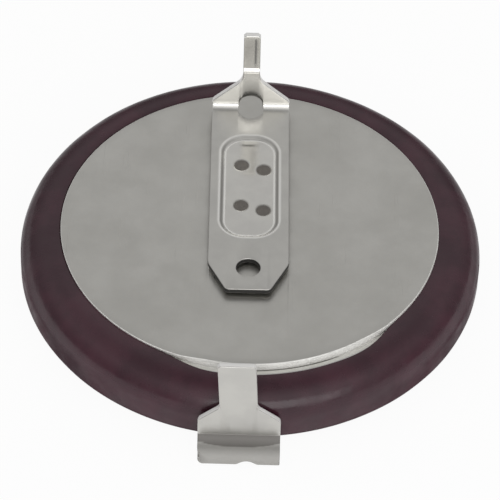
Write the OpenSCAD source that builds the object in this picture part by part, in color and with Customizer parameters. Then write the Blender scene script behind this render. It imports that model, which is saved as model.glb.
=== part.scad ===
// Tabbed lithium coin cell: a round sealed cell in a shrink sleeve, with a folded
// terminal strap welded to each face. Both solder pins point up, past the cap.
// Origin on the cell's axis, in the plane that the lower strap rests on.

/* [Cell] */
// Diameter of the steel can
can_d = 23.0; // [20:0.5:30]
// Height of the sealed cell, from the can's base to the cap's face
cell_h = 3.0; // [2.6:0.1:5]
// Thickness of the can's sheet
can_t = 0.25; // [0.15:0.05:0.3]
// Outer radius of the can's lower corner
can_corner_r = 0.45; // [0.35:0.05:0.6]
// Outer radius of the crimped upper corner
crimp_r = 1.4; // [1.2:0.05:1.6]
// How far the crimped edge stays below the cap's face
crimp_drop = 0.35; // [0.25:0.05:0.6]
// How far the crimped lip reaches inward past its corner
lip_reach = 0.3; // [0.05:0.05:0.35]

/* [Cap] */
// Width of the seam between the crimped lip and the cap's raised disc
seam_w = 0.2; // [0.15:0.05:0.5]
// Thickness of the cap's sheet
cap_t = 0.25; // [0.15:0.05:0.3]
// Outer radius of the cap's shoulder
cap_shoulder_r = 0.4; // [0.3:0.05:0.5]
// Radius at the foot of the cap's raised disc
cap_foot_r = 0.2; // [0.1:0.05:0.25]
// Gap between the end of the cap's skirt and the can's floor
skirt_lift = 0.38; // [0.3:0.02:0.5]

/* [Gasket] */
// Thickness of the gasket between cap and can
gasket_t = 0.35; // [0.3:0.05:0.45]
// Thickness of the gasket's inner leg
gasket_leg_t = 0.25; // [0.15:0.05:0.4]
// Height of the gasket's inner leg
gasket_leg_h = 0.9; // [0.6:0.1:1.2]
// Clearance at the gasket's faces
seal_gap = 0.01; // [0.005:0.005:0.03]

/* [Inside] */
// Clearance between the lithium disc and the cap's wall
anode_gap = 0.55; // [0.2:0.05:2]
// Thickness of the lithium disc
anode_t = 0.65; // [0.4:0.05:0.9]
// Clearance between the separator and the cap's wall
separator_gap = 0.15; // [0.1:0.05:1]
// Thickness of the separator
separator_t = 0.15; // [0.1:0.05:0.25]
// Clearance between the collector ring and the cap's wall
ring_gap = 0.3; // [0.2:0.05:2]
// Thickness of the collector ring's sheet
ring_t = 0.15; // [0.1:0.05:0.2]
// Height of the collector ring
ring_h = 1.1; // [0.6:0.1:1.3]
// Width of the collector ring's floor
ring_floor = 0.9; // [0.5:0.1:2]

/* [Sleeve] */
// Thickness of the shrink film
sleeve_t = 0.19; // [0.1:0.01:0.3]
// Clearance between film and can
sleeve_gap = 0.01; // [0.005:0.005:0.03]
// How far the film's upper edge stays outside the cap's disc
sleeve_cap_gap = 0.12; // [0.08:0.01:0.3]
// Width of the film's turned-in band under the base
sleeve_band = 1.9; // [1:0.1:3]

/* [Straps] */
// Thickness of the tab sheet
tab_t = 0.3; // [0.2:0.01:0.35]
// Width of the negative strap
negative_w = 4.05; // [3.4:0.05:5]
// Width of the positive strap
positive_w = 4.0; // [3.4:0.05:5]
// Width of each strap's chamfered end
strap_end_w = 2.2; // [1.6:0.1:3]
// Distance from the pressed pocket to the chamfered end
tail_l = 3.55; // [3:0.05:5]
// Length of the chamfers
chamfer_l = 1.8; // [1:0.1:2.2]
// Diameter of the hole near the chamfered end
tail_hole_d = 1.2; // [0.8:0.1:1.6]
// Distance from the hole's centre to the chamfered end
tail_hole_inset = 1.5; // [1.2:0.1:2]
// Width of the pressed pocket
pocket_w = 3.1; // [2.6:0.1:3.2]
// Length of the pressed pocket
pocket_l = 7.4; // [5:0.1:7.6]
// Corner radius of the pressed pocket
pocket_r = 1.3; // [0.8:0.05:1.5]
// Width of the pocket's sloping wall
pocket_slope = 0.28; // [0.1:0.02:0.4]
// Thickness of the pocket's wall, measured level
pocket_wall = 0.15; // [0.1:0.05:0.2]
// Distance from the edge of the cap's disc to the pocket's far end
pocket_inset = 3.6; // [3.4:0.05:4.5]
// Diameter of a weld spot
weld_d = 0.78; // [0.5:0.02:0.9]
// Depth of a weld spot
weld_depth = 0.05; // [0.02:0.01:0.1]
// Spacing of the weld spots across the strap
weld_pitch_w = 1.14; // [1:0.02:1.4]
// Spacing of the weld spots along the strap
weld_pitch_l = 2.9; // [2:0.05:4]
// Sideways shift of the weld spots on the strap
weld_shift = 0.15; // [-0.2:0.05:0.2]
// How far the two electrodes stood out of square
weld_skew_l = 0.32; // [0:0.01:0.4]

/* [Negative tab] */
// Sideways place of the negative strap on the cap
negative_x = -0.1; // [-0.5:0.05:0.5]
// Turn of the negative strap on the cap, in degrees
negative_turn = 0.5; // [-3:0.5:3]
// Height of the negative strap's flat above the cap
negative_standoff = 0.15; // [0.05:0.01:0.25]
// Distance from the edge of the cap's disc to the start of the bend
bend_inset = 1.92; // [1.4:0.02:2.2]
// Inner radius of the bend
negative_bend_r = 0.41; // [0.3:0.01:0.6]
// Diameter of the relief hole in the bend's level leg
bend_hole_d = 1.3; // [0.8:0.02:1.6]
// Diameter of the relief hole in the bend's upright leg
web_hole_d = 1.2; // [0.7:0.02:1.6]
// Height of the relief hole's upper edge above the bend
bend_hole_rise = 0.38; // [0.3:0.01:0.6]
// Distance of the relief hole's lower edge before the bend
bend_hole_before = 0.4; // [0.3:0.01:0.6]
// Width of the negative pin
negative_pin_w = 0.87; // [0.6:0.01:1.2]
// Height of the negative pin's end above the cap's face
negative_pin_h = 5.34; // [4:0.01:8]
// Height of the tapered web above the cap's face
web_h = 2.71; // [2.6:0.01:3]
// Slope of the web's sides, from level
web_slope = 43; // [38:1:48]
// Radius from the web's sides into the pin
web_r = 0.88; // [0.5:0.02:1.0]
// Height of the small outward step above the web
step_lift = 0.1; // [0:0.02:0.6]
// Turn of the small outward step
step_turn = 30; // [15:5:60]
// Inner radius and length of the small outward step
step_r = 0.1; // [0.05:0.05:0.2]

/* [Positive tab] */
// Sideways place of the positive strap under the cell
positive_x = -0.3; // [-0.5:0.05:0.5]
// Clearance between the sleeve and the upright plate
plate_gap = 0.08; // [0.03:0.01:0.3]
// Clearance between the sleeve and the strap under it
under_gap = 0.02; // [0.01:0.01:0.1]
// Inner radius of the folded foot
foot_r = 0.165; // [0.1:0.005:0.3]
// Level length on top of the folded foot
foot_flat = 0.13; // [0.05:0.01:0.6]
// Inner radius from the foot into the upright plate
foot_fillet_r = 0.41; // [0.3:0.01:0.6]
// Corner radius of the foot, left
foot_left_r = 0.6; // [0.2:0.05:0.8]
// Corner radius of the foot, right
foot_right_r = 0.15; // [0.1:0.05:0.8]
// Diameter of the relief hole in the foot
foot_hole_d = 1.3; // [0.8:0.1:1.6]
// Sideways place of the relief hole, from the strap's middle
foot_hole_x = 0.4; // [-0.6:0.1:0.6]
// How far the relief hole reaches past the foot's edge
foot_hole_reach = 0.05; // [0:0.01:0.1]
// Width of the positive pin
positive_pin_w = 1.83; // [1.2:0.01:2.4]
// Height of the positive pin's end above the cap's face
positive_pin_h = 2.69; // [2:0.01:8]
// Height of the plate's shoulders above the can's base
shoulder_h = 1.77; // [1.6:0.01:2]
// Height of the slopes from the shoulders to the pin
shoulder_slope_h = 0.92; // [0.4:0.01:1.2]
// Sideways lean of the positive pin above the shoulders, in degrees
positive_lean = 2.5; // [-3:0.5:3]
// Chamfer at the corners of both pins
pin_chamfer = 0.12; // [0.05:0.01:0.2]

/* [Hidden] */
$fn = 96;
arc_step = 15;
cut = 1;

// Levels, counted up from the plane that the lower strap rests on
positive_standoff = sleeve_gap + sleeve_t + under_gap;
base_z = tab_t + positive_standoff;
floor_z = base_z + can_t;
face_z = base_z + cell_h;
crimp_z = face_z - crimp_drop - crimp_r;
skirt_z = floor_z + skirt_lift;
lid_z = face_z - cap_t;

// Radii
can_r = can_d / 2;
crimp_x = can_r - crimp_r;
lip_r = crimp_x - lip_reach;
cap_r = lip_r - seam_w;
cap_inner_r = cap_r - cap_t;
pellet_r = cap_inner_r - ring_gap - ring_t;
corner_x = can_r - can_corner_r;
sleeve_r = can_r + sleeve_gap + sleeve_t;
cap_bend_r = crimp_r - can_t - gasket_t;
skirt_r = crimp_x + cap_bend_r;

// Places along a strap, from the cell's axis toward its bend
pocket_y = cap_r - pocket_inset - pocket_l;
tail_y = pocket_y - tail_l;
bend_y = cap_r - bend_inset;

// Points of an arc about c, from angle a to angle b
function arc(c, r, a, b) =
    let (n = max(1, ceil(abs(b - a) / arc_step)))
    [for (i = [0 : n]) let (t = a + (b - a) * i / n) c + r * [cos(t), sin(t)]];

function turned(points) = [for (i = [len(points) - 1 : -1 : 0]) points[i]];

// Side of the closed can, moved outward by g
function can_side(g, bottom_r, top_r) = concat(
    [[bottom_r, base_z - g]],
    arc([corner_x, base_z + can_corner_r], can_corner_r + g, -90, 0),
    arc([crimp_x, crimp_z], crimp_r + g, 0, 90),
    [[top_r, crimp_z + crimp_r + g]]
);

// Side of the cap from its face to its skirt, moved outward by g
function cap_side(g) = concat(
    arc([cap_r - cap_shoulder_r, face_z - cap_shoulder_r], cap_shoulder_r + g, 90, 0),
    arc([cap_r + cap_foot_r, crimp_z + cap_bend_r + cap_foot_r], cap_foot_r - g, 180, 270),
    arc([crimp_x, crimp_z], cap_bend_r + g, 90, 0)
);

// Sheet steps are [straight length, turn, inner radius], walked from point p along angle h
function sheet_path(steps, p, h, i = 0) =
    i == len(steps) ? [] :
    let (
        s = steps[i],
        side = s[1] < 0 ? -1 : 1,
        r = s[2] + tab_t / 2,
        q = p + s[0] * [cos(h), sin(h)],
        c = q + side * r * [-sin(h), cos(h)],
        n = ceil(abs(s[1]) / arc_step),
        bend = s[1] == 0 ? [[q, h]] :
            [for (k = [0 : n]) let (a = h + s[1] * k / n) [c + side * r * [sin(a), -cos(a)], a]],
        last = bend[len(bend) - 1]
    )
    concat(bend, sheet_path(steps, last[0], last[1], i + 1));

function sheet_face(path, side) =
    [for (e = path) e[0] + side * tab_t / 2 * [-sin(e[1]), cos(e[1])]];

// Side view of a folded sheet, in Y and Z, made w wide along X
module folded_sheet(steps, start, w) {
    path = concat([[start, 0]], sheet_path(steps, start, 0));
    rotate([90, 0, 90])
        translate([0, 0, -w / 2])
            linear_extrude(w)
                polygon(concat(sheet_face(path, 1), turned(sheet_face(path, -1))));
}

// Oblong with rounded corners from y = 0 along +Y, wider by grow on every side at its top
module sloped_oblong(w, l, r, h, grow) {
    for (x = [-1, 1], y = [r, l - r])
        translate([x * (w / 2 - r), y])
            cylinder(h = h, r1 = r, r2 = r + grow);
    translate([0, l - r])
        rotate([90, 0, 0])
            linear_extrude(l - 2 * r)
                polygon([[-w / 2, 0], [w / 2, 0], [w / 2 + grow, h], [-w / 2 - grow, h]]);
    translate([r - w / 2, 0])
        rotate([90, 0, 90])
            linear_extrude(w - 2 * r)
                polygon([[0, 0], [l, 0], [l + grow, h], [-grow, h]]);
}

// Flat part of a strap over the face that it is welded to, which lies at z = 0
module strap(w, standoff, run) {
    floor_w = pocket_w - 2 * pocket_slope;
    floor_l = pocket_l - 2 * pocket_slope;
    floor_r = pocket_r - pocket_slope;
    difference() {
        union() {
            translate([0, 0, standoff])
                linear_extrude(tab_t)
                    polygon([
                        [-strap_end_w / 2, tail_y],
                        [strap_end_w / 2, tail_y],
                        [w / 2, tail_y + chamfer_l],
                        [w / 2, run],
                        [-w / 2, run],
                        [-w / 2, tail_y + chamfer_l]
                    ]);
            translate([0, pocket_y + pocket_slope - pocket_wall, 0])
                sloped_oblong(floor_w + 2 * pocket_wall, floor_l + 2 * pocket_wall,
                    floor_r + pocket_wall, standoff, pocket_slope);
        }
        translate([0, tail_y + tail_hole_inset, standoff - cut])
            cylinder(h = tab_t + 2 * cut, d = tail_hole_d);
        translate([0, pocket_y + pocket_slope, tab_t])
            sloped_oblong(floor_w, floor_l, floor_r, 2 * standoff, 2 * pocket_slope);
        weld_spots();
    }
}

// Four shallow marks on the pocket's floor
module weld_spots() {
    middle_y = pocket_y + pocket_l / 2;
    for (x = [-1, 1], y = [-1, 1])
        translate([weld_shift + x * weld_pitch_w / 2,
            middle_y + y * weld_pitch_l / 2 - x * weld_skew_l / 2, tab_t - weld_depth])
            cylinder(h = weld_depth + cut, d = weld_d);
}

// Half outline of a pin, in X and Z, up to its end at height h
function pin_side(w, h) = [[w / 2, h - pin_chamfer], [w / 2 - pin_chamfer, h]];

function mirrored(points) = concat(points, [for (p = turned(points)) [-p[0], p[1]]]);

// Outline whose points above height z lean sideways
function leaned(points, z) =
    [for (p = points) [p[0] - max(0, p[1] - z) * tan(positive_lean), p[1]]];

module positive_can() {
    color("silver")
        rotate_extrude()
            polygon(concat(can_side(0, 0, lip_r), turned(can_side(-can_t, 0, lip_r))));
}

module negative_cap() {
    color("gainsboro")
        rotate_extrude()
            polygon(concat(
                [[0, face_z]],
                cap_side(0),
                [[skirt_r, skirt_z], [skirt_r - cap_t, skirt_z]],
                turned(cap_side(-cap_t)),
                [[0, lid_z]]
            ));
}

// One ring round the cap's skirt: up under the crimped lip, and round the skirt's end
module sealing_gasket() {
    outer_r = can_r - can_t - seal_gap;
    corner = can_corner_r - can_t + seal_gap;
    lip_z = face_z - crimp_drop;
    under_lip_z = lip_z - can_t - seal_gap;
    bottom_z = floor_z + seal_gap;
    leg_r = skirt_r - cap_t - seal_gap;
    gasket_foot = cap_foot_r - seal_gap;
    color("whitesmoke")
        rotate_extrude()
            polygon(concat(
                [[cap_r + seal_gap, lip_z - 2 * seal_gap], [lip_r - seal_gap, lip_z - 2 * seal_gap]],
                [[lip_r - seal_gap, under_lip_z]],
                arc([crimp_x, crimp_z], crimp_r - can_t - seal_gap, 90, 0),
                [[outer_r, bottom_z + corner], [outer_r - corner, bottom_z]],
                [[leg_r - gasket_leg_t, bottom_z], [leg_r - gasket_leg_t, bottom_z + gasket_leg_h]],
                [[leg_r, bottom_z + gasket_leg_h], [leg_r, skirt_z - seal_gap]],
                [[skirt_r + seal_gap, skirt_z - seal_gap]],
                arc([crimp_x, crimp_z], cap_bend_r + seal_gap, 0, 90),
                arc([cap_r + cap_foot_r, crimp_z + cap_bend_r + cap_foot_r], gasket_foot, 270, 180)
            ));
}

// Pressed pellet on the can's floor, stepped at its edge for the collector ring
module cathode_pellet() {
    step_z = floor_z + ring_t + seal_gap;
    color("dimgray")
        rotate_extrude()
            polygon([
                [0, floor_z],
                [pellet_r - ring_floor - seal_gap, floor_z],
                [pellet_r - ring_floor - seal_gap, step_z],
                [pellet_r - seal_gap, step_z],
                [pellet_r - seal_gap, lid_z - anode_t - separator_t],
                [0, lid_z - anode_t - separator_t]
            ]);
}

module collector_ring() {
    color("darkgray")
        rotate_extrude()
            polygon([
                [pellet_r - ring_floor, floor_z],
                [pellet_r + ring_t, floor_z],
                [pellet_r + ring_t, floor_z + ring_h],
                [pellet_r, floor_z + ring_h],
                [pellet_r, floor_z + ring_t],
                [pellet_r - ring_floor, floor_z + ring_t]
            ]);
}

module separator_disc() {
    color("ivory")
        translate([0, 0, lid_z - anode_t - separator_t])
            cylinder(h = separator_t, r = cap_inner_r - separator_gap);
}

module lithium_disc() {
    color("lightslategray")
        translate([0, 0, lid_z - anode_t])
            cylinder(h = anode_t, r = cap_inner_r - anode_gap);
}

// Shrink film round the can, turned in over the crimp and under the base
module insulating_sleeve() {
    top_r = cap_r + sleeve_cap_gap;
    bottom_r = can_r - sleeve_band;
    color([0.25, 0.16, 0.18])
        rotate_extrude()
            polygon(concat(
                can_side(sleeve_gap + sleeve_t, bottom_r, top_r),
                turned(can_side(sleeve_gap, bottom_r, top_r))
            ));
}

// Strap on the cap, bent up into a tapered web and a narrow pin
module negative_tab() {
    flat_y = bend_y - bend_hole_before;
    flat_z = negative_standoff + tab_t / 2;
    bend_top_z = negative_standoff + tab_t + negative_bend_r;
    step_z = web_h + step_lift;
    // A radius on the web's corner leads into the pin, and its sides run down to the shoulders
    pin_r = negative_pin_w / 2;
    web_side = arc([pin_r + web_r, web_h], web_r, 180, 270 - web_slope);
    taper = web_side[len(web_side) - 1];
    shoulder_z = taper[1] - (negative_w / 2 - taper[0]) * tan(web_slope);
    bend_rise = (2 * step_r + tab_t) * sin(step_turn) + step_r * cos(step_turn);
    color("lightgray")
        translate([negative_x, 0, face_z])
            rotate(negative_turn)
                difference() {
                    union() {
                        strap(negative_w, negative_standoff, flat_y);
                        intersection() {
                            folded_sheet([
                                [bend_hole_before, 90, negative_bend_r],
                                [step_z - bend_top_z, -step_turn, step_r],
                                [step_r, step_turn, step_r],
                                [negative_pin_h - step_z - bend_rise, 0, 0]
                            ], [flat_y, flat_z], negative_w);
                            rotate([90, 0, 0])
                                translate([0, 0, -can_d])
                                    linear_extrude(can_d)
                                        polygon(mirrored(concat(
                                            [[negative_w / 2, 0], [negative_w / 2, shoulder_z]],
                                            turned(web_side),
                                            pin_side(negative_pin_w, negative_pin_h)
                                        )));
                        }
                    }
                    bend_hole(bend_top_z);
                }
}

// Round hole through both legs of the bend, which opens the bend between them
module bend_hole(bend_top_z) {
    translate([0, bend_y - bend_hole_before + bend_hole_d / 2, -cut])
        cylinder(h = bend_top_z + cut, d = bend_hole_d);
    translate([0, bend_y, bend_top_z + bend_hole_rise - web_hole_d / 2])
        rotate([-90, 0, 0])
            cylinder(h = negative_bend_r + tab_t + cut, d = web_hole_d);
}

// Strap under the can, doubled back as a foot outside the sleeve, then bent up past the cell
module positive_tab() {
    run = sleeve_r + plate_gap + tab_t + foot_fillet_r + foot_flat;
    foot_h = 2 * (foot_r + tab_t);
    foot_edge = run + foot_r + tab_t;
    end_z = positive_pin_h + face_z;
    half_w = positive_w / 2;
    shoulder_z = shoulder_h + base_z;
    color("lightgray")
        translate([positive_x, 0, 0])
            difference() {
                union() {
                    translate([0, 0, base_z])
                        rotate([180, 0, 0])
                            strap(positive_w, positive_standoff, run - foot_left_r);
                    mirror([0, 1, 0])
                        intersection() {
                            translate([0, run - foot_left_r, 0])
                                folded_sheet([
                                    [foot_left_r, 180, foot_r],
                                    [foot_flat, -90, foot_fillet_r],
                                    [end_z - foot_h - foot_fillet_r, 0, 0]
                                ], [0, tab_t / 2], positive_w);
                            union() {
                                foot_outline(run - foot_left_r, foot_edge, foot_h + foot_fillet_r);
                                rotate([90, 0, 0])
                                    translate([0, 0, -foot_edge])
                                        linear_extrude(foot_edge)
                                            polygon(leaned(mirrored(concat(
                                                [[half_w, foot_h], [half_w, shoulder_z]],
                                                [[positive_pin_w / 2, shoulder_z + shoulder_slope_h]],
                                                pin_side(positive_pin_w, end_z)
                                            )), shoulder_z));
                            }
                        }
                }
                translate([foot_hole_x, foot_hole_d / 2 - foot_edge - foot_hole_reach, -cut])
                    cylinder(h = foot_h / 2 + cut, d = foot_hole_d);
            }
}

// Plan of the folded foot, with its two worn outer corners rounded
module foot_outline(from_y, to_y, h) {
    half_w = positive_w / 2;
    linear_extrude(h)
        polygon(concat(
            [[-half_w, from_y], [half_w, from_y]],
            arc([half_w - foot_right_r, to_y - foot_right_r], foot_right_r, 0, 90),
            arc([foot_left_r - half_w, to_y - foot_left_r], foot_left_r, 90, 180)
        ));
}

positive_can();
negative_cap();
sealing_gasket();
cathode_pellet();
collector_ring();
separator_disc();
lithium_disc();
insulating_sleeve();
negative_tab();
positive_tab();
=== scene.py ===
import math

import bpy
from mathutils import Matrix, Vector, noise


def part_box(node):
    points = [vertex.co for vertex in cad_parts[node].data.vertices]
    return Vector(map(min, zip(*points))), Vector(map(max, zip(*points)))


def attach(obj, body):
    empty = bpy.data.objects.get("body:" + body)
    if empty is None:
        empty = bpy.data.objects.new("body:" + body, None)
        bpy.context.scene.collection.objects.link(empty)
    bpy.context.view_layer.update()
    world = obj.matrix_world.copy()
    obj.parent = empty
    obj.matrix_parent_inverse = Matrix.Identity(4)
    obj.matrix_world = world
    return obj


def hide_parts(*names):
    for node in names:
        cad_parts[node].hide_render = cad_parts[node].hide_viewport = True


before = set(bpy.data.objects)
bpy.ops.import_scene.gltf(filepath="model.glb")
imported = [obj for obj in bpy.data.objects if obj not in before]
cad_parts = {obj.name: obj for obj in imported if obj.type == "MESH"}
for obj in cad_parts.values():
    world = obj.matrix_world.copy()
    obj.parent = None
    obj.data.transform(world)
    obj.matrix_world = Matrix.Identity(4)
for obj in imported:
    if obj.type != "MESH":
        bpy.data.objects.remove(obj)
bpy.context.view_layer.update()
mm = 0.001  # pieces are drawn in millimetres and scaled once, when they are finished
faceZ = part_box("negative_cap")[1].z / mm
print("frame loaded, cap face at", round(faceZ, 3), "mm")

# sizes that the pieces share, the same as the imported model's
cell = {"canR": 11.5, "canT": 0.25, "height": 3.0, "cornerR": 0.45, "crimpR": 1.4, "crimpDrop": 0.35}
baseZ = faceZ - cell["height"]
floorZ = baseZ + cell["canT"]
crimpX = cell["canR"] - cell["crimpR"]
crimpZ = faceZ - cell["crimpDrop"] - cell["crimpR"]
cornerX = cell["canR"] - cell["cornerR"]


# drawing and finishing

def selectOnly(piece):
    bpy.ops.object.select_all(action="DESELECT")
    piece.select_set(True)
    bpy.context.view_layer.objects.active = piece


def startWire(name, first):
    bpy.ops.object.select_all(action="DESELECT")
    bpy.ops.mesh.primitive_plane_add(size=1)
    piece = bpy.context.object
    piece.name = name
    bpy.ops.object.mode_set(mode="EDIT")
    bpy.ops.mesh.merge(type="CENTER")
    bpy.ops.transform.translate(value=first)
    return piece


def drawWire(points):
    for here, there in zip(points, points[1:]):
        step = [b - a for a, b in zip(here, there)]
        bpy.ops.mesh.extrude_vertices_move(TRANSFORM_OT_translate={"value": step})


def rise(value, low, high):  # 0 below low, 1 above high, smooth between
    part = min(max((value - low) / (high - low), 0), 1)
    return part * part * (3 - 2 * part)


def band(value, upFrom, upTo, downFrom, downTo):  # 1 in the middle, 0 on either side
    return rise(value, upFrom, upTo) * rise(-value, -downTo, -downFrom)


def turnBetween(firstDeg, secondDeg):
    return abs((firstDeg - secondDeg + 180) % 360 - 180)


def arcPoints(centre, radius, fromDeg, toDeg, count):
    turns = [math.radians(fromDeg + (toDeg - fromDeg) * i / count) for i in range(count + 1)]
    return [(centre[0] + radius * math.cos(a), centre[1] + radius * math.sin(a)) for a in turns]


def turnPiece(name, profile, steps=256):
    points = [(r, 0, z) for r, z in profile]
    piece = startWire(name, points[0])
    drawWire(points)
    bpy.ops.mesh.select_all(action="SELECT")
    bpy.ops.mesh.spin(steps=steps, angle=math.tau, center=(0, 0, 0), axis=(0, 0, 1))
    bpy.ops.mesh.select_all(action="SELECT")
    bpy.ops.mesh.remove_doubles(threshold=0.0004)
    bpy.ops.mesh.normals_make_consistent(inside=False)
    bpy.ops.object.mode_set(mode="OBJECT")
    return piece


def markPoints(mesh, found):  # one value for each point, read by the material
    for markName, values in found.items():
        mesh.attributes.new(markName, "FLOAT", "POINT").data.foreach_set("value", values)


def finishPiece(piece, node, material, smoothDeg):
    selectOnly(piece)
    piece.scale = (mm, mm, mm)
    bpy.ops.object.transform_apply(location=True, rotation=True, scale=True)
    bpy.ops.object.shade_smooth_by_angle(angle=math.radians(smoothDeg))
    piece.data.materials.clear()
    piece.data.materials.append(material)
    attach(piece, "root")
    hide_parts(node)
    print("finished", piece.name, len(piece.data.polygons), "faces")


# materials: every pattern is measured in millimetres on the piece

def startFinish(name, look):
    material = bpy.data.materials.new(name)
    material.use_nodes = True
    tree = material.node_tree
    shader = tree.nodes["Principled BSDF"]
    shader.inputs["Metallic"].default_value = look.get("metallic", 0.0)
    shader.inputs["IOR"].default_value = look.get("ior", 1.5)
    place = tree.nodes.new("ShaderNodeTexCoord")
    scaled = tree.nodes.new("ShaderNodeMapping")
    scaled.inputs["Scale"].default_value = (1 / mm, 1 / mm, 1 / mm)
    tree.links.new(place.outputs["Object"], scaled.inputs["Vector"])
    return material, tree, shader, scaled.outputs["Vector"]


def addNoise(tree, vector, scale, detail=3.0, rough=0.5, stretch=(1, 1, 1), turnDeg=0.0):
    mapping = tree.nodes.new("ShaderNodeMapping")
    mapping.inputs["Scale"].default_value = stretch
    mapping.inputs["Rotation"].default_value = (0, 0, math.radians(turnDeg))
    tree.links.new(vector, mapping.inputs["Vector"])
    pattern = tree.nodes.new("ShaderNodeTexNoise")
    pattern.inputs["Scale"].default_value = scale
    pattern.inputs["Detail"].default_value = detail
    pattern.inputs["Roughness"].default_value = rough
    tree.links.new(mapping.outputs["Vector"], pattern.inputs["Vector"])
    return pattern.outputs["Fac"]


def addRange(tree, value, fromLow, fromHigh, toLow, toHigh):
    remap = tree.nodes.new("ShaderNodeMapRange")
    remap.interpolation_type = "SMOOTHSTEP"
    for key, number in zip(("From Min", "From Max", "To Min", "To Max"), (fromLow, fromHigh, toLow, toHigh)):
        remap.inputs[key].default_value = number
    tree.links.new(value, remap.inputs["Value"])
    return remap.outputs["Result"]


def addMath(tree, kind, first, second):
    step = tree.nodes.new("ShaderNodeMath")
    step.operation = kind
    for socket, value in zip(step.inputs, (first, second)):
        if isinstance(value, (int, float)):
            socket.default_value = value
        else:
            tree.links.new(value, socket)
    return step.outputs["Value"]


def addMix(tree, factor, first, second):
    mix = tree.nodes.new("ShaderNodeMix")
    mix.data_type = "RGBA"
    tree.links.new(factor, mix.inputs["Factor"])
    for socket, value in ((mix.inputs["A"], first), (mix.inputs["B"], second)):
        if isinstance(value, tuple):
            socket.default_value = (*value, 1)
        else:
            tree.links.new(value, socket)
    return mix.outputs["Result"]


def addBump(tree, height, strength, distance, under=None):
    bump = tree.nodes.new("ShaderNodeBump")
    bump.inputs["Strength"].default_value = strength
    bump.inputs["Distance"].default_value = distance * mm
    tree.links.new(height, bump.inputs["Height"])
    if under is not None:
        tree.links.new(under, bump.inputs["Normal"])
    return bump.outputs["Normal"]


def metalFinish(name, look):
    material, tree, shader, place = startFinish(name, dict(look, metallic=1.0))
    if look.get("onSheet"):  # the grain follows the flat blank through its bends
        uv = tree.nodes.new("ShaderNodeUVMap")
        uv.uv_map = "blank"
        place = uv.outputs["UV"]
    clouds = addNoise(tree, place, look["cloudScale"], 5.0, 0.6)
    colour = addMix(tree, addRange(tree, clouds, 0.35, 0.65, 0.0, 1.0), look["colour"], look["worn"])
    patches = addNoise(tree, place, look["cloudScale"] * 3.1, 6.0, 0.65)
    roughness = addRange(tree, patches, 0.3, 0.7, look["smooth"], look["rough"])
    grain = addNoise(tree, place, look["grainScale"], 2.0, 0.6, look["grainStretch"])
    normal = addBump(tree, grain, look["grainBump"], 0.01)
    for turnDeg in look.get("scratchTurns", ()):
        lines = addNoise(tree, place, look["scratchScale"], 1.0, 0.4, (1.0, 0.03, 1.0), turnDeg)
        where = addNoise(tree, place, look["cloudScale"] * 1.7, 2.0, 0.5, (1, 1, 1), turnDeg * 2)
        scratch = addMath(tree, "MULTIPLY", addRange(tree, lines, 0.66, 0.72, 0.0, 1.0),
                          addRange(tree, where, 0.5, 0.62, 0.0, 1.0))
        normal = addBump(tree, scratch, look["scratchBump"], 0.01, normal)
    pits = addNoise(tree, place, look["pitScale"], 3.0, 0.7) if "pitScale" in look else None
    metallic = None  # a mark has a colour, a change of roughness, a depth of pits and a share of frosting
    for markName, (markColour, markRough, markPits, markFrost) in look.get("marks", {}).items():
        mark = tree.nodes.new("ShaderNodeAttribute")
        mark.attribute_name = markName
        if markColour:
            colour = addMix(tree, mark.outputs["Fac"], colour, markColour)
        roughness = addMath(tree, "ADD", roughness, addMath(tree, "MULTIPLY", mark.outputs["Fac"], markRough))
        if markPits:
            normal = addBump(tree, addMath(tree, "MULTIPLY", pits, mark.outputs["Fac"]), markPits, 0.05, normal)
        if markFrost:
            metallic = addMath(tree, "SUBTRACT", 1.0 if metallic is None else metallic,
                               addMath(tree, "MULTIPLY", mark.outputs["Fac"], markFrost))
    if metallic is not None:
        tree.links.new(metallic, shader.inputs["Metallic"])
    tree.links.new(colour, shader.inputs["Base Color"])
    tree.links.new(roughness, shader.inputs["Roughness"])
    tree.links.new(normal, shader.inputs["Normal"])
    return material


def softFinish(name, look):
    material, tree, shader, place = startFinish(name, look)
    clouds = addNoise(tree, place, look["cloudScale"], 5.0, 0.6)
    colour = addMix(tree, addRange(tree, clouds, 0.35, 0.65, 0.0, 1.0), look["colour"], look["worn"])
    patches = addNoise(tree, place, look["cloudScale"] * 2.3, 5.0, 0.6)
    roughness = addRange(tree, patches, 0.3, 0.7, look["smooth"], look["rough"])
    if "edgeSheen" in look:  # less gloss where the surface turns away
        facing = tree.nodes.new("ShaderNodeLayerWeight")
        facing.inputs["Blend"].default_value = 0.5
        sheen = addRange(tree, facing.outputs["Facing"], 0.35, 0.65, look["sheen"], look["edgeSheen"])
        tree.links.new(sheen, shader.inputs["Specular IOR Level"])
    if "rubbedBelow" in look:  # the side is rougher than the top
        parts = tree.nodes.new("ShaderNodeSeparateXYZ")
        tree.links.new(place, parts.inputs["Vector"])
        fromZ, toZ = look["rubbedBelow"] - 0.3, look["rubbedBelow"]
        rubbed = addRange(tree, parts.outputs["Z"], fromZ, toZ, look["rubbed"], 0.0)
        roughness = addMath(tree, "ADD", roughness, rubbed)
    ripples = addNoise(tree, place, look["rippleScale"], 3.0, 0.5)
    normal = addBump(tree, ripples, look["rippleBump"], look["rippleDepth"])
    grain = addNoise(tree, place, look["grainScale"], 2.0, 0.6, look.get("grainStretch", (1, 1, 1)))
    normal = addBump(tree, grain, look["grainBump"], 0.01, normal)
    tree.links.new(colour, shader.inputs["Base Color"])
    tree.links.new(roughness, shader.inputs["Roughness"])
    tree.links.new(normal, shader.inputs["Normal"])
    return material


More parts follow.
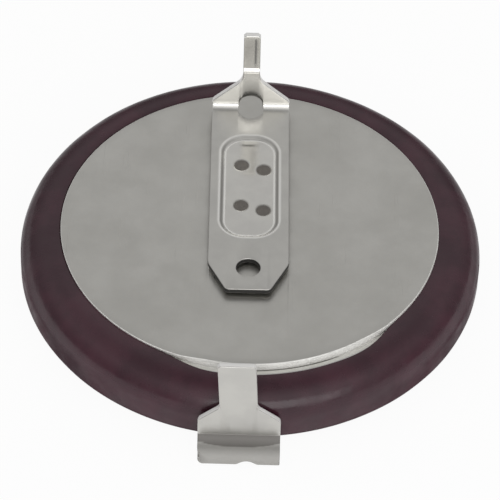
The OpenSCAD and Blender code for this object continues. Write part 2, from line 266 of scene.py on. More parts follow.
# cap: a pressed disc whose rim catches the light, with its skirt under the crimp
# beside the near tab (leanAtDeg) its wall leans back and carries a painted highlight, with painted shade on the ledge
# at its foot; elsewhere the face runs out to the film
cap = {"discR": 9.6, "t": 0.25, "faceRings": (0, 3, 6, 8.2), "footR": 0.2, "bendR": 0.8, "skirtLift": 0.38,
       "rollR": 2.5, "rollDeg": 9, "brinkR": 0.08, "wallDeg": 72, "wallFootR": 9.56, "ledgeDrop": 0.4,
       "wallFootCut": (0.02, 0.03), "ledgeCut": 0.02, "insideSlope": 0.3,
       "leanAtDeg": -78, "leanFullDeg": 24, "leanEndDeg": 34, "leanIn": 0.01,
       "runFromR": 8.6, "runToR": 9.38, "runOut": 0.115, "runOffX": -0.055,
       "rimHighlightDeg": 34, "ledgeShadeDeg": 11, "fadeDeg": 8,
       "rimHighlightDrop": (0.03, 0.045), "plainDrop": (0.09, 0.3), "ledgeShadeDrop": (0.36, 0.4), "smoothDeg": 30}
capLook = {"colour": (0.56, 0.55, 0.52), "worn": (0.52, 0.51, 0.48), "cloudScale": 0.25,
           "smooth": 0.34, "rough": 0.44, "grainScale": 9.0, "grainStretch": (1, 1, 1), "grainBump": 0.35,
           "scratchTurns": (20, 65, -30), "scratchScale": 3.0, "scratchBump": 1.0, "pitScale": 12.0,
           # the first mark paints a highlight on the rim, pale and frosted, with pits
           "marks": {"paintedRimHighlight": ((0.97, 0.96, 0.92), 0, 0.9, 0.65),
                     # this mark paints shade on the ledge beside the tab
                     "paintedLedgeShade": ((0.35, 0.34, 0.32), 0.1, 0, 0)}}
capFoot = (cap["discR"] + cap["footR"], crimpZ + cap["bendR"] + cap["footR"])


def capSide(count):  # the face rolls off a little, then a brink, a sloping wall and a narrow ledge
    wall, tilt = math.radians(cap["wallDeg"]), math.radians(cap["rollDeg"])
    brinkR, rollR, ledgeZ = cap["brinkR"], cap["rollR"], faceZ - cap["ledgeDrop"]
    wallDrop = cap["ledgeDrop"] - (rollR - brinkR) * (1 - math.cos(tilt)) - brinkR * (1 - math.cos(wall))
    brinkX = cap["wallFootR"] - wallDrop / math.tan(wall) - brinkR * math.sin(wall)
    brinkZ = faceZ - rollR + (rollR - brinkR) * math.cos(tilt)
    rollX = brinkX - (rollR - brinkR) * math.sin(tilt)
    return (arcPoints((rollX, faceZ - rollR), rollR, 90, 90 - cap["rollDeg"], 6)
            + arcPoints((brinkX, brinkZ), brinkR, 90 - cap["rollDeg"], 90 - cap["wallDeg"], count)[1:]
            + [(cap["wallFootR"] - cap["wallFootCut"][0], ledgeZ + cap["wallFootCut"][1]), (cap["wallFootR"], ledgeZ),
               (cap["discR"] - cap["ledgeCut"], ledgeZ), (cap["discR"], ledgeZ - cap["ledgeCut"])]
            + arcPoints(capFoot, cap["footR"], 180, 270, 5)[1:]
            + arcPoints((crimpX, crimpZ), cap["bendR"], 90, 0, 8))


def capInside():
    return ([(cap["wallFootR"] - cap["t"] - cap["insideSlope"], faceZ - cap["t"]),
             (cap["discR"] - cap["t"], faceZ - cap["ledgeDrop"] - cap["t"])]
            + arcPoints(capFoot, cap["footR"] + cap["t"], 180, 270, 5)[1:]
            + arcPoints((crimpX, crimpZ), cap["bendR"] - cap["t"], 90, 0, 8))


skirtR = crimpX + cap["bendR"]
skirtZ = floorZ + cap["skirtLift"]
capProfile = ([(ringR, faceZ) for ringR in cap["faceRings"]] + capSide(8)
              + [(skirtR, skirtZ), (skirtR - cap["t"], skirtZ)] + capInside()[::-1]
              + [(cap["faceRings"][-1], faceZ - cap["t"]), (0, faceZ - cap["t"])])
capDisc = turnPiece("capDisc", capProfile)
capMarks = {markName: [0.0] * len(capDisc.data.vertices) for markName in capLook["marks"]}
for point in capDisc.data.vertices:
    radius, depth = math.hypot(point.co.x, point.co.y), faceZ - point.co.z
    if not cap["runFromR"] < radius < cap["discR"] or depth > cap["ledgeDrop"] + 0.01:
        continue
    out = Vector((point.co.x, point.co.y, 0)).normalized()
    away = turnBetween(math.degrees(math.atan2(out.y, out.x)), cap["leanAtDeg"])
    # painted shade on the ledge beside the tab
    ledgeShade = rise(depth, *cap["ledgeShadeDrop"]) * (1 - rise(away, cap["ledgeShadeDeg"], cap["ledgeShadeDeg"] + cap["fadeDeg"]))
    plain = rise(away, cap["rimHighlightDeg"], cap["rimHighlightDeg"] + cap["fadeDeg"]) * rise(depth, *cap["plainDrop"])
    # painted highlight on the rim's brink all round, and down the wall beside the tab
    capMarks["paintedRimHighlight"][point.index] = rise(depth, *cap["rimHighlightDrop"]) * (1 - plain) * (1 - ledgeShade)
    capMarks["paintedLedgeShade"][point.index] = ledgeShade
    run = rise(away, cap["leanFullDeg"], cap["leanEndDeg"])
    push = run * (cap["runOut"] + cap["runOffX"] * out.x) - (1 - run) * cap["leanIn"]
    point.co += out * push * rise(-depth, -cap["ledgeDrop"], 0) * rise(radius, cap["runFromR"], cap["runToR"])
markPoints(capDisc.data, capMarks)
finishPiece(capDisc, "negative_cap", metalFinish("mattePlatedCap", capLook), cap["smoothDeg"])


# sleeve: shrink film drawn tight over the can, slightly uneven
film = {"t": 0.19, "gap": 0.01, "topR": 9.72, "bottomR": 9.6, "wobble": 0.035, "wobbleSize": 0.35,
        "edgeR": 9.64, "leastR": 9.58, "offX": -0.07, "offY": 0.11, "edgeWave": 0.02, "edgeWaveSize": 0.5,
        "shortMost": 0.5, "shortAtDeg": -78, "shortSpanDeg": 31, "smoothDeg": 35}
filmLook = {"colour": (0.036, 0.0115, 0.0185), "worn": (0.056, 0.018, 0.028), "cloudScale": 0.4,
            "smooth": 0.14, "rough": 0.32, "rubbedBelow": faceZ - 1.2, "rubbed": 0.2,
            "ior": 1.53, "sheen": 0.36, "edgeSheen": 0.04,
            "rippleScale": 0.8, "rippleBump": 0.4, "rippleDepth": 0.06, "grainScale": 14.0, "grainBump": 0.12}


def canSide(g, bottomR, topR, count):  # the can's outline, g millimetres outside it
    return ([(bottomR, baseZ - g)]
            + arcPoints((cornerX, baseZ + cell["cornerR"]), cell["cornerR"] + g, -90, 0, 8)
            + arcPoints((crimpX, crimpZ), cell["crimpR"] + g, 0, 90, count)
            + [(topR, crimpZ + cell["crimpR"] + g)])


outer = film["gap"] + film["t"]
filmInside = canSide(film["gap"], film["bottomR"], film["topR"], 16)[::-1]
filmOutside = canSide(outer, film["bottomR"], film["topR"], 24)
halfT = film["t"] / 2
topEdge = arcPoints((film["topR"], crimpZ + cell["crimpR"] + outer - halfT), halfT, 90, 270, 6)[1:-1]
bottomEdge = arcPoints((film["bottomR"], baseZ - outer + halfT), halfT, 90, 270, 6)[1:-1]
filmProfile = filmOutside + topEdge + filmInside + bottomEdge + filmOutside[:1]
filmSleeve = turnPiece("filmSleeve", filmProfile, 320)


def filmEdge(angleDeg, out):  # the film shrank back further beside the near tab
    short = film["shortMost"] / (1 + (turnBetween(angleDeg, film["shortAtDeg"]) / film["shortSpanDeg"]) ** 8)
    middle = film["edgeR"] + film["offX"] * out.x + film["offY"] * out.y
    wave = film["edgeWave"] * noise.noise(out * film["topR"] * film["edgeWaveSize"])
    return max(film["leastR"], middle + short + wave)


for point in filmSleeve.data.vertices:  # a little slack in the film, kept off the can
    radius = math.hypot(point.co.x, point.co.y)
    out = Vector((point.co.x, point.co.y, 0)).normalized()
    if radius > crimpX:
        overCrimp = math.hypot(radius - crimpX, point.co.z - crimpZ) > cell["crimpR"] + film["gap"] + halfT
        if overCrimp or radius > cell["canR"] + film["gap"] + halfT:
            slack = (noise.noise(point.co * film["wobbleSize"]) + 1) / 2
            point.co -= out * film["wobble"] * slack
    elif point.co.z > crimpZ:
        edge = filmEdge(math.degrees(math.atan2(point.co.y, point.co.x)), out)
        part = (crimpX - radius) / (crimpX - film["topR"])
        point.co += out * (edge - film["topR"]) * part
filmMaterial = softFinish("maroonShrinkFilm", filmLook)
finishPiece(filmSleeve, "insulating_sleeve", filmMaterial, film["smoothDeg"])


# straps: cut flat, pierced, rounded at the edges, then folded
strap = {"t": 0.3, "tailHalf": 1.1, "chamferL": 1.8, "holeR": 0.6, "holeInset": 1.5,
         "edgeRound": 0.05, "cornerRound": 0.16, "pocketInset": 3.6, "tailReach": 3.55, "bendInset": 1.92,
         "pocketW": 3.1, "pocketL": 7.4, "pocketR": 1.3, "pocketSlope": 0.28, "grid": 0.045, "gridMargin": 0.1,
         "weldR": 0.42, "weldFade": 0.06, "weldDepth": 0.04,
         "weldX": 0.15, "weldPitchW": 1.14, "weldPitchL": 2.9, "weldSkew": 0.32,
         "floorShade": (0.8, 1.1), "outerRim": (-0.3, -0.05, 0.1, 0.3), "innerRim": (0.8, 0.95, 1.05, 1.25),
         "wallShade": (0.3, 0.45, 0.53, 0.68), "nearEndL": (0.4, 1.3), "nearEndHighlight": 0.8,
         "restL": 99, "smoothDeg": 35}
tabLook = {"colour": (0.57, 0.56, 0.53), "worn": (0.53, 0.52, 0.495), "cloudScale": 0.5,
           "smooth": 0.32, "rough": 0.4, "grainScale": 5.0, "grainStretch": (6, 0.6, 1), "grainBump": 0.16,
           "onSheet": True, "pitScale": 9.0,
           "marks": {"pressedFloor": (None, -0.29, 0, 0),
                     # pale, frosted lines along the pocket's rims: painted highlight
                     "paintedPocketHighlight": ((0.8, 0.79, 0.76), 0, 0, 0.45),
                     # darker pocket side walls: painted shade
                     "paintedPocketWallShade": ((0.4, 0.39, 0.37), 0, 0, 0),
                     # lighter, smoother web and pin above the bend: painted highlight
                     "upright": ((0.76, 0.75, 0.72), -0.14, 0, 0),
                     # the pin's face toned down: painted shade
                     "pinShade": ((0.68, 0.67, 0.64), 0, 0, 0),
                     # dark line down the pin: painted dark reflection
                     "pinStreak": ((0.1, 0.098, 0.095), 0.1, 0, 0.4),
                     # pale sheared edges: painted highlight on an edge frosted like a rough sheared face
                     "brightEdge": ((0.82, 0.81, 0.79), 0.1, 0, 0.9),
                     # near-black sheared edges along the cell: painted shade
                     "darkEdge": ((0.02, 0.019, 0.018), 0.15, 0, 0.9),
                     "creaseShade": ((0.2, 0.19, 0.178), 0.3, 0.2, 0.85),
                     # darker foot and its edges: painted shade, with pits, frosting and a rougher finish
                     "footWear": ((0.4, 0.39, 0.37), 0.3, 0.25, 0.8),
                     "weldMark": ((0.19, 0.175, 0.16), 0.3, 0.7, 0)}}
pocketY = cap["discR"] - strap["pocketInset"] - strap["pocketL"]
pocketMid = pocketY + strap["pocketL"] / 2
tailY = pocketY - strap["tailReach"]
bendY = cap["discR"] - strap["bendInset"]


def selectCorners(piece, corners):
    bpy.ops.object.mode_set(mode="EDIT")
    bpy.ops.mesh.select_mode(type="VERT")
    bpy.ops.mesh.select_all(action="DESELECT")
    bpy.ops.object.mode_set(mode="OBJECT")
    for point in piece.data.vertices:
        point.select = any(math.hypot(point.co.x - x, point.co.y - s) < 0.01 for x, s in corners)
    bpy.ops.object.mode_set(mode="EDIT")


def cutBlank(name, side, holes, corners):
    outline = side + [(-x, s) for x, s in reversed(side)]
    piece = startWire(name, (*outline[0], 0))
    drawWire([(x, s, 0) for x, s in outline])
    bpy.ops.mesh.select_all(action="SELECT")
    bpy.ops.mesh.edge_face_add()
    selectCorners(piece, corners + [(-x, s) for x, s in corners])
    bpy.ops.mesh.bevel(offset=strap["cornerRound"], segments=5, affect="VERTICES")
    bpy.ops.mesh.select_all(action="SELECT")
    bpy.ops.mesh.extrude_region_move(TRANSFORM_OT_translate={"value": (0, 0, strap["t"])})
    bpy.ops.mesh.select_all(action="SELECT")
    bpy.ops.mesh.normals_make_consistent(inside=False)
    bpy.ops.object.mode_set(mode="OBJECT")
    for hole in holes:
        punch(piece, *hole)
    selectOnly(piece)
    rounded = piece.modifiers.new("edges", "BEVEL")
    rounded.width = strap["edgeRound"]
    rounded.segments = 3
    rounded.use_clamp_overlap = False
    rounded.limit_method = "ANGLE"
    rounded.angle_limit = math.radians(50)
    bpy.ops.object.modifier_apply(modifier=rounded.name)
    return piece


def punch(piece, x, fromS, toS, fromR, toR):
    bpy.ops.object.select_all(action="DESELECT")
    bpy.ops.mesh.primitive_cylinder_add(vertices=64, radius=1, depth=3)
    cutter = bpy.context.object
    for point in cutter.data.vertices:
        far = point.co.y > 0.001
        radius = toR if far else fromR
        point.co = (x + point.co.x * radius, point.co.y * radius + (toS - toR if far else fromS + fromR), point.co.z)
    hole = piece.modifiers.new("hole", "BOOLEAN")
    hole.operation = "DIFFERENCE"
    hole.solver = "EXACT"
    hole.object = cutter
    selectOnly(piece)
    bpy.ops.object.modifier_apply(modifier=hole.name)
    bpy.data.objects.remove(cutter)


def sliceBlank(piece, acrossAt, alongAt):
    selectOnly(piece)
    bpy.ops.object.mode_set(mode="EDIT")
    for axis, places in (((1, 0, 0), acrossAt), ((0, 1, 0), alongAt)):
        for place in places:
            bpy.ops.mesh.select_all(action="SELECT")
            bpy.ops.mesh.bisect(plane_co=[place * a for a in axis], plane_no=axis, threshold=0.00002)
    bpy.ops.object.mode_set(mode="OBJECT")


def spread(fromValue, toValue, step):
    count = max(1, round((toValue - fromValue) / step))
    return [fromValue + (toValue - fromValue) * i / count for i in range(count + 1)]


def bendPlaces(path, start):
    places, along = [], start
    for straight, turnDeg, inner in path:
        along += straight
        if turnDeg:
            length = math.radians(abs(turnDeg)) * (inner + strap["t"] / 2)
            places += spread(along, along + length, length / max(4, abs(turnDeg) // 6))  # one for every 6 degrees
            along += length
    return places


def foldedPlace(path, start, along, lift):
    (y, z), heading, left = start, 0.0, along - start[0]
    for straight, turnDeg, inner in path:
        run = min(left, straight)
        y, z, left = y + run * math.cos(heading), z + run * math.sin(heading), left - run
        if left <= 0 or turnDeg == 0:
            break
        side = math.copysign(1, turnDeg)
        radius = side * (inner + strap["t"] / 2)
        part = min(left / abs(radius), math.radians(abs(turnDeg)))
        y, z = y - radius * math.sin(heading), z + radius * math.cos(heading)
        heading += side * part
        y, z = y + radius * math.sin(heading), z - radius * math.cos(heading)
        left -= part * abs(radius)
        if left <= 0:
            break
    return y - lift * math.sin(heading), z + lift * math.cos(heading)


def pocketPart(x, s):  # 0 outside the pocket, 1 on its floor
    w, l, r = strap["pocketW"] / 2, strap["pocketL"] / 2, strap["pocketR"]
    qx, qs = abs(x) - (w - r), abs(s - pocketMid) - (l - r)
    return (r - math.hypot(max(qx, 0), max(qs, 0)) - min(max(qx, qs), 0)) / strap["pocketSlope"]


def pocketShades(x, s):  # painted highlight lines on both sides of the wall and on the wall's near end, painted shade on the wall's sides
    part = pocketPart(x, s)
    wall = band(part, *strap["wallShade"])
    nearEnd = 1 - rise(s - pocketY, *strap["nearEndL"])
    rims = band(part, *strap["outerRim"]) + band(part, *strap["innerRim"])
    return {"pressedFloor": rise(part, *strap["floorShade"]),
            "paintedPocketHighlight": min(1, rims + strap["nearEndHighlight"] * wall * nearEnd),
            "paintedPocketWallShade": wall * (1 - nearEnd), "weldMark": weldMark(x, s)}


def weldMark(x, s):
    spots = [(strap["weldX"] + i * strap["weldPitchW"] / 2,
              pocketMid + j * strap["weldPitchL"] / 2 - i * strap["weldSkew"] / 2)
             for i in (-1, 1) for j in (-1, 1)]
    return rise(strap["weldR"] - min(math.hypot(x - a, s - b) for a, b in spots), 0, strap["weldFade"])


# press moves the pocket's floor, markSide is the face that carries marks, and place puts the folded sheet on the cell
def foldBlank(piece, path, start, press, markSide, place, shades, edgeMark):
    mesh = piece.data
    uv = mesh.uv_layers.new(name="blank")
    for loop in mesh.loops:
        uv.data[loop.index].uv = mesh.vertices[loop.vertex_index].co.xy
    spots = [tuple(point.co) for point in mesh.vertices]
    found = {markName: [0.0] * len(spots) for markName in tabLook["marks"]}
    for point, (x, s, up) in zip(mesh.vertices, spots):
        lift = up - strap["t"] / 2
        if s < bendY:
            if lift * markSide > 0:
                for markName, part in pocketShades(x, s).items():
                    found[markName][point.index] = part
                lift -= markSide * strap["weldDepth"] * weldMark(x, s)
            lift += press * rise(pocketPart(x, s), 0, 1)
        if min(up, strap["t"] - up) > strap["edgeRound"] - 0.001:
            found[edgeMark(s)][point.index] = 1.0
        elif (up - strap["t"] / 2) * markSide > 0:
            for markName, part in shades(x, s).items():
                found[markName][point.index] = part
        y, z = foldedPlace(path, start, s, lift)
        point.co = place(x, y, z)
    markPoints(mesh, found)
    selectOnly(piece)
    bpy.ops.object.mode_set(mode="EDIT")
    bpy.ops.mesh.select_all(action="SELECT")
    bpy.ops.mesh.normals_make_consistent(inside=False)
    bpy.ops.object.mode_set(mode="OBJECT")


tabMetal = metalFinish("brightTabNickel", tabLook)
gridHalfW = strap["pocketW"] / 2 + strap["gridMargin"]
gridHalfL = strap["pocketL"] / 2 + strap["gridMargin"]
pocketAcross = spread(-gridHalfW, gridHalfW, strap["grid"])
pocketAlong = spread(pocketMid - gridHalfL, pocketMid + gridHalfL, strap["grid"])

# negative strap: on the cap, bent up at the back into a tapered web and a narrow pin
negative = {"x": -0.1, "turnDeg": 0.5, "halfW": 2.025, "standoff": 0.15, "bendR": 0.41,
            "holeR": 0.65, "webHoleR": 0.6, "holeBefore": 0.4, "holeRise": 0.38,
            "pinHalf": 0.435, "pinTop": 5.34, "pinCut": 0.12, "pinGrid": 0.15, "pinGridFrom": 0.25,
            "webZ": 2.71, "webR": 0.88, "webSlopeDeg": 43, "stepLift": 0.1, "stepDeg": 30, "stepR": 0.1,
            "shadeFrom": (0.1, 0.3), "shadeTo": (-0.3, -0.15), "shadeHalf": (0.3, 0.36),
            "streakX": (0.12, 0.17, 0.22, 0.27), "streakFrom": (0.3, 0.8), "streak": 0.8}
bendTop = negative["standoff"] + strap["t"] + negative["bendR"]
bendLength = math.pi / 2 * (negative["bendR"] + strap["t"] / 2)
upright = bendY + bendLength - bendTop  # add a height above the cap to this to find its place on the blank
stepZ = negative["webZ"] + negative["stepLift"]
# a path lists straight length, turn in degrees and inner radius, and restL is more than any strap has left
negativePath = [(bendY - tailY, 90, negative["bendR"]), (stepZ - bendTop, -negative["stepDeg"], negative["stepR"]),
                (negative["stepR"], negative["stepDeg"], negative["stepR"]), (strap["restL"], 0, 0)]
stepTurn = math.radians(negative["stepDeg"])
stepMean = negative["stepR"] + strap["t"] / 2
stepExtra = 2 * stepMean * (stepTurn - math.sin(stepTurn)) + negative["stepR"] * (1 - math.cos(stepTurn))
webArc = arcPoints((negative["pinHalf"] + negative["webR"], negative["webZ"]), negative["webR"],
                   270 - negative["webSlopeDeg"], 180, 10)
shoulderZ = webArc[0][1] - (negative["halfW"] - webArc[0][0]) * math.tan(math.radians(negative["webSlopeDeg"]))
pinEnd = upright + negative["pinTop"] + stepExtra
negativeSide = ([(strap["tailHalf"], tailY), (negative["halfW"], tailY + strap["chamferL"]),
                 (negative["halfW"], upright + shoulderZ)]
                + [(x, upright + z) for x, z in webArc]
                + [(negative["pinHalf"], pinEnd - negative["pinCut"]),
                   (negative["pinHalf"] - negative["pinCut"], pinEnd)])
tailHole = (0, tailY + strap["holeInset"] - strap["holeR"], tailY + strap["holeInset"] + strap["holeR"],
            strap["holeR"], strap["holeR"])
bendHole = (0, bendY - negative["holeBefore"], upright + bendTop + negative["holeRise"],
            negative["holeR"], negative["webHoleR"])
negativeStrap = cutBlank("negativeStrap", negativeSide, [tailHole, bendHole], negativeSide[:3])
pinFoot = upright + stepZ + stepExtra
pinAlong = spread(pinFoot + negative["pinGridFrom"], pinEnd - negative["pinGrid"], negative["pinGrid"])
sliceBlank(negativeStrap, pocketAcross, pocketAlong + bendPlaces(negativePath, tailY) + pinAlong)


def pinShades(x, s):  # smoother above the bend and lighter there as painted highlight; on the pin's face painted shade between its paler edges, with one painted dark reflection line
    onPin = rise(s - pinFoot, *negative["shadeFrom"]) * (1 - rise(s - pinEnd, *negative["shadeTo"]))
    line = band(x, *negative["streakX"]) * rise(s - pinFoot, *negative["streakFrom"])
    return {"upright": rise(s, bendY, upright + bendTop),
            "pinShade": onPin * (1 - rise(abs(x), *negative["shadeHalf"])),
            "pinStreak": line * onPin * negative["streak"]}


turnedX, turnedY = math.cos(math.radians(negative["turnDeg"])), math.sin(math.radians(negative["turnDeg"]))
# the strap's sheared edges carry painted shade along the cap and a painted highlight from the bend up
foldBlank(negativeStrap, negativePath, (tailY, negative["standoff"] + strap["t"] / 2), -negative["standoff"], 1,
          lambda x, y, z: (x * turnedX - y * turnedY + negative["x"], x * turnedY + y * turnedX, z + faceZ),
          pinShades, lambda s: "darkEdge" if s < bendY else "brightEdge")
finishPiece(negativeStrap, "negative_tab", tabMetal, strap["smoothDeg"])

# positive strap: under the can, doubled back as a foot outside the sleeve, then up past the cell
positive = {"x": -0.3, "halfW": 2.0, "footR": 0.165, "footFlat": 0.13, "filletR": 0.41, "plateGap": 0.08,
            "leftR": 0.6, "rightR": 0.15, "footHoleX": 0.4, "footHoleR": 0.65, "footHoleReach": 0.05,
            "shoulder": 1.77, "slopeH": 0.92, "pinHalf": 0.915, "pinTop": 2.69, "pinCut": 0.12, "leanDeg": 2.5,
            "creaseLift": 0.09, "creaseCurve": 0.36, "creasePower": 2.5, "creaseEnd": 0.06,
            "creaseFade": (-0.04, 0.02), "footShadeL": 0.4, "edgeShadeL": 1.2}
footRun = cell["canR"] + outer + positive["plateGap"] + strap["t"] + positive["filletR"] + positive["footFlat"]
footEdge = footRun + positive["footR"] + strap["t"]
positivePath = [(footRun - tailY, 180, positive["footR"]), (positive["footFlat"], -90, positive["filletR"]),
                (strap["restL"], 0, 0)]
foldEnd = footRun + math.pi * (positive["footR"] + strap["t"] / 2)
filletL = math.pi / 2 * (positive["filletR"] + strap["t"] / 2)
plateZ = 2 * (positive["footR"] + strap["t"]) + positive["filletR"]
plateS = foldEnd + positive["footFlat"] + filletL - plateZ
shoulderS = plateS + baseZ + positive["shoulder"]
endS = plateS + faceZ + positive["pinTop"]
positiveSide = [(strap["tailHalf"], tailY), (positive["halfW"], tailY + strap["chamferL"]),
                (positive["halfW"], shoulderS), (positive["pinHalf"], shoulderS + positive["slopeH"]),
                (positive["pinHalf"], endS - positive["pinCut"]), (positive["pinHalf"] - positive["pinCut"], endS)]
holeS = footEdge + positive["footHoleReach"] - positive["footHoleR"]
footHole = (positive["footHoleX"], holeS - positive["footHoleR"], holeS + positive["footHoleR"],
            positive["footHoleR"], positive["footHoleR"])
positiveStrap = cutBlank("positiveStrap", positiveSide, [tailHole, footHole], positiveSide[:4])
sliceBlank(positiveStrap, pocketAcross, pocketAlong + bendPlaces(positivePath, tailY))


def wornCorner(x, y):  # the foot's two outer corners have their own radii
    r = positive["leftR"] if x < 0 else positive["rightR"]
    into, past = abs(x) - (positive["halfW"] - r), y - (footEdge - r)
    if into <= 0 or past <= 0:
        return x
    limit = math.sqrt(max(r * r - past * past, 0))
    return math.copysign(positive["halfW"] - r + into * limit / r, x)


def leaned(x, z):
    return x - max(0, z - baseZ - positive["shoulder"]) * math.tan(math.radians(positive["leanDeg"]))


def footShades(x, s):  # painted shade on the crease above the folded foot, widest in the middle, and painted shade on the foot
    curve = positive["creaseCurve"] * filletL * (abs(x) / positive["halfW"]) ** positive["creasePower"]
    fades = [foldEnd + positive["creaseLift"] + curve + fade for fade in positive["creaseFade"]]
    top = foldEnd + positive["footFlat"] + filletL
    return {"creaseShade": band(s, *fades, top - positive["creaseEnd"], top),
            # painted shade on the foot
            "footWear": band(s, footRun, footRun + positive["footShadeL"], *fades)}


def positiveEdge(s):  # the sheared edge has painted shade along the cell and round the foot, then a painted highlight
    if s < bendY:
        return "darkEdge"
    return "footWear" if s < footRun + positive["edgeShadeL"] else "brightEdge"


foldBlank(positiveStrap, positivePath, (tailY, strap["t"] / 2), baseZ - strap["t"], -1,
          lambda x, y, z: (leaned(wornCorner(x, y), z) + positive["x"], -y, z), footShades, positiveEdge)
finishPiece(positiveStrap, "positive_tab", tabMetal, strap["smoothDeg"])


# nodes kept from the model get their own finishes
insideLooks = {
    "positive_can": (metalFinish, "satinCanSteel", {
        "colour": (0.58, 0.57, 0.55), "worn": (0.53, 0.52, 0.5), "cloudScale": 0.3, "smooth": 0.25, "rough": 0.36,
        "grainScale": 7.0, "grainStretch": (1, 1, 1), "grainBump": 0.25,
        "scratchTurns": (10, 75), "scratchScale": 3.0, "scratchBump": 0.3}),
    "collector_ring": (metalFinish, "ringSteel", {
        "colour": (0.5, 0.5, 0.49), "worn": (0.45, 0.45, 0.44), "cloudScale": 0.6, "smooth": 0.3, "rough": 0.42,
        "grainScale": 8.0, "grainStretch": (1, 1, 1), "grainBump": 0.2}),
    "lithium_disc": (metalFinish, "rolledLithium", {
        "colour": (0.5, 0.51, 0.53), "worn": (0.36, 0.37, 0.4), "cloudScale": 0.35, "smooth": 0.4, "rough": 0.6,
        "grainScale": 4.0, "grainStretch": (5, 0.4, 1), "grainBump": 0.4}),
    "sealing_gasket": (softFinish, "mouldedGasket", {
        "colour": (0.82, 0.81, 0.76), "worn": (0.76, 0.75, 0.69), "cloudScale": 0.5, "smooth": 0.4, "rough": 0.55,
        "rippleScale": 1.5, "rippleBump": 0.1, "rippleDepth": 0.02, "grainScale": 16.0, "grainBump": 0.15}),
    "cathode_pellet": (softFinish, "pressedPowder", {
        "colour": (0.05, 0.05, 0.055), "worn": (0.085, 0.083, 0.085), "cloudScale": 2.5,
        "smooth": 0.75, "rough": 0.95, "rippleScale": 3.0, "rippleBump": 0.5, "rippleDepth": 0.05,
        "grainScale": 25.0, "grainBump": 0.6}),
    "separator_disc": (softFinish, "nonWovenFelt", {
        "colour": (0.86, 0.85, 0.8), "worn": (0.78, 0.77, 0.72), "cloudScale": 1.2, "smooth": 0.8, "rough": 0.95,
        "rippleScale": 2.0, "rippleBump": 0.3, "rippleDepth": 0.03,
        "grainScale": 12.0, "grainStretch": (4, 0.5, 1), "grainBump": 0.6}),
}
for nodeName, (makeFinish, finishName, look) in insideLooks.items():
    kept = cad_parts[nodeName]
    kept.data.materials.clear()
    kept.data.materials.append(makeFinish(finishName, look))
print("inner pieces finished")


# studio: white floor, soft light from the front, camera at the photo's place
studio = {"floorSize": 6.0, "floorColour": (0.96, 0.96, 0.96), "floorGlow": 0.94,
          "skyByHeight": ((0.0, 0.3), (0.3, 0.4), (0.7, 0.74), (0.9, 0.52), (1.0, 0.34)),
          "windowRaisedDeg": 22, "windowTurnDeg": 15, "windowLevel": 0.55, "windowNearDeg": 20, "windowFarDeg": 60,
          "softboxRaisedDeg": 20, "softboxTurnDeg": 12, "softboxAway": 0.6, "softboxSize": (0.66, 0.26),
          "softboxWatts": 1.0}


def toward(raisedDeg, turnDeg):  # 0 degrees of turn is the camera's side
    lift, turn = math.radians(raisedDeg), math.radians(turnDeg)
    return Vector((math.sin(turn) * math.cos(lift), -math.cos(turn) * math.cos(lift), math.sin(lift)))


bpy.ops.object.select_all(action="DESELECT")
bpy.ops.mesh.primitive_plane_add(size=studio["floorSize"])
floor = bpy.context.object
floor.name = "studioFloor"
floorFinish = bpy.data.materials.new("whiteTable")
floorFinish.use_nodes = True
nodes, links = floorFinish.node_tree.nodes, floorFinish.node_tree.links
nodes["Principled BSDF"].inputs["Base Color"].default_value = (*studio["floorColour"], 1)
nodes["Principled BSDF"].inputs["Roughness"].default_value = 0.9
nodes["Principled BSDF"].inputs["Specular IOR Level"].default_value = 0.0
glow = nodes.new("ShaderNodeEmission")
glow.inputs["Strength"].default_value = 1.0
ray = nodes.new("ShaderNodeLightPath")
seen = addMath(floorFinish.node_tree, "MAXIMUM", ray.outputs["Is Camera Ray"], ray.outputs["Is Glossy Ray"])
seen = addMath(floorFinish.node_tree, "MAXIMUM", seen, ray.outputs["Is Transmission Ray"])
whiter = nodes.new("ShaderNodeMixShader")
links.new(addMath(floorFinish.node_tree, "MULTIPLY", seen, studio["floorGlow"]), whiter.inputs["Fac"])
links.new(nodes["Principled BSDF"].outputs["BSDF"], whiter.inputs[1])
links.new(glow.outputs["Emission"], whiter.inputs[2])
links.new(whiter.outputs["Shader"], nodes["Material Output"].inputs["Surface"])
floor.data.materials.append(floorFinish)

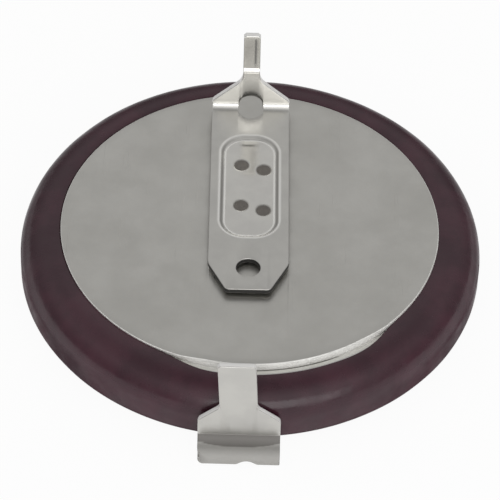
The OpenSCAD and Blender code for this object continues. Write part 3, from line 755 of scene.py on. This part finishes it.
world = bpy.data.worlds.new("studioSky")
bpy.context.scene.world = world
world.use_nodes = True
nodes, links = world.node_tree.nodes, world.node_tree.links
direction = nodes.new("ShaderNodeTexCoord")
parts = nodes.new("ShaderNodeSeparateXYZ")
heights = nodes.new("ShaderNodeValToRGB")
links.new(direction.outputs["Generated"], parts.inputs["Vector"])
links.new(parts.outputs["Z"], heights.inputs["Fac"])
while len(heights.color_ramp.elements) < len(studio["skyByHeight"]):
    heights.color_ramp.elements.new(0.5)
for stop, (height, level) in zip(heights.color_ramp.elements, studio["skyByHeight"]):
    stop.position = height
    stop.color = (level, level, level, 1)
aim = nodes.new("ShaderNodeVectorMath")
aim.operation = "DOT_PRODUCT"
links.new(direction.outputs["Generated"], aim.inputs[0])
aim.inputs[1].default_value = toward(studio["windowRaisedDeg"], studio["windowTurnDeg"])
window = addRange(world.node_tree, aim.outputs["Value"], math.cos(math.radians(studio["windowFarDeg"])),
                  math.cos(math.radians(studio["windowNearDeg"])), 0.0, studio["windowLevel"])
links.new(heights.outputs["Color"], nodes["Background"].inputs["Color"])
pane = nodes.new("ShaderNodeBackground")
links.new(window, pane.inputs["Strength"])
both = nodes.new("ShaderNodeAddShader")
links.new(nodes["Background"].outputs["Background"], both.inputs[0])
links.new(pane.outputs["Background"], both.inputs[1])
links.new(both.outputs["Shader"], nodes["World Output"].inputs["Surface"])

bpy.ops.object.light_add(type="AREA")
softbox = bpy.context.object
softbox.name = "softbox"
softbox.data.shape = "RECTANGLE"
softbox.data.size, softbox.data.size_y = studio["softboxSize"]
softbox.data.energy = studio["softboxWatts"]
toBox = toward(studio["softboxRaisedDeg"], studio["softboxTurnDeg"])
softbox.location = toBox * studio["softboxAway"]
softbox.rotation_euler = toBox.to_track_quat("Z", "Y").to_euler()

view = {"raisedDeg": 45.709, "rollDeg": 1.558, "distance": 150.0, "lens": 213.592, "shift": (-0.00167, -0.05223)}
raised, roll = math.radians(view["raisedDeg"]), math.radians(view["rollDeg"])
back = Vector((0, -math.cos(raised), math.sin(raised)))
upward = Vector((0, math.sin(raised), math.cos(raised)))
across = Vector((1, 0, 0))
camX = math.cos(roll) * across + math.sin(roll) * upward
camY = -math.sin(roll) * across + math.cos(roll) * upward
bpy.ops.object.camera_add()
camera = bpy.context.object
camera.name = "photoCamera"
spot = (Vector((0, 0, faceZ)) + back * view["distance"]) * mm
camera.matrix_world = Matrix.Translation(spot) @ Matrix((camX, camY, back)).transposed().to_4x4()
camera.data.sensor_width = 36
camera.data.lens = view["lens"]
camera.data.shift_x, camera.data.shift_y = view["shift"]
camera.data.clip_start = 0.01
bpy.context.scene.camera = camera
bpy.context.scene.view_settings.view_transform = "Standard"
print("camera, lights and floor ready")
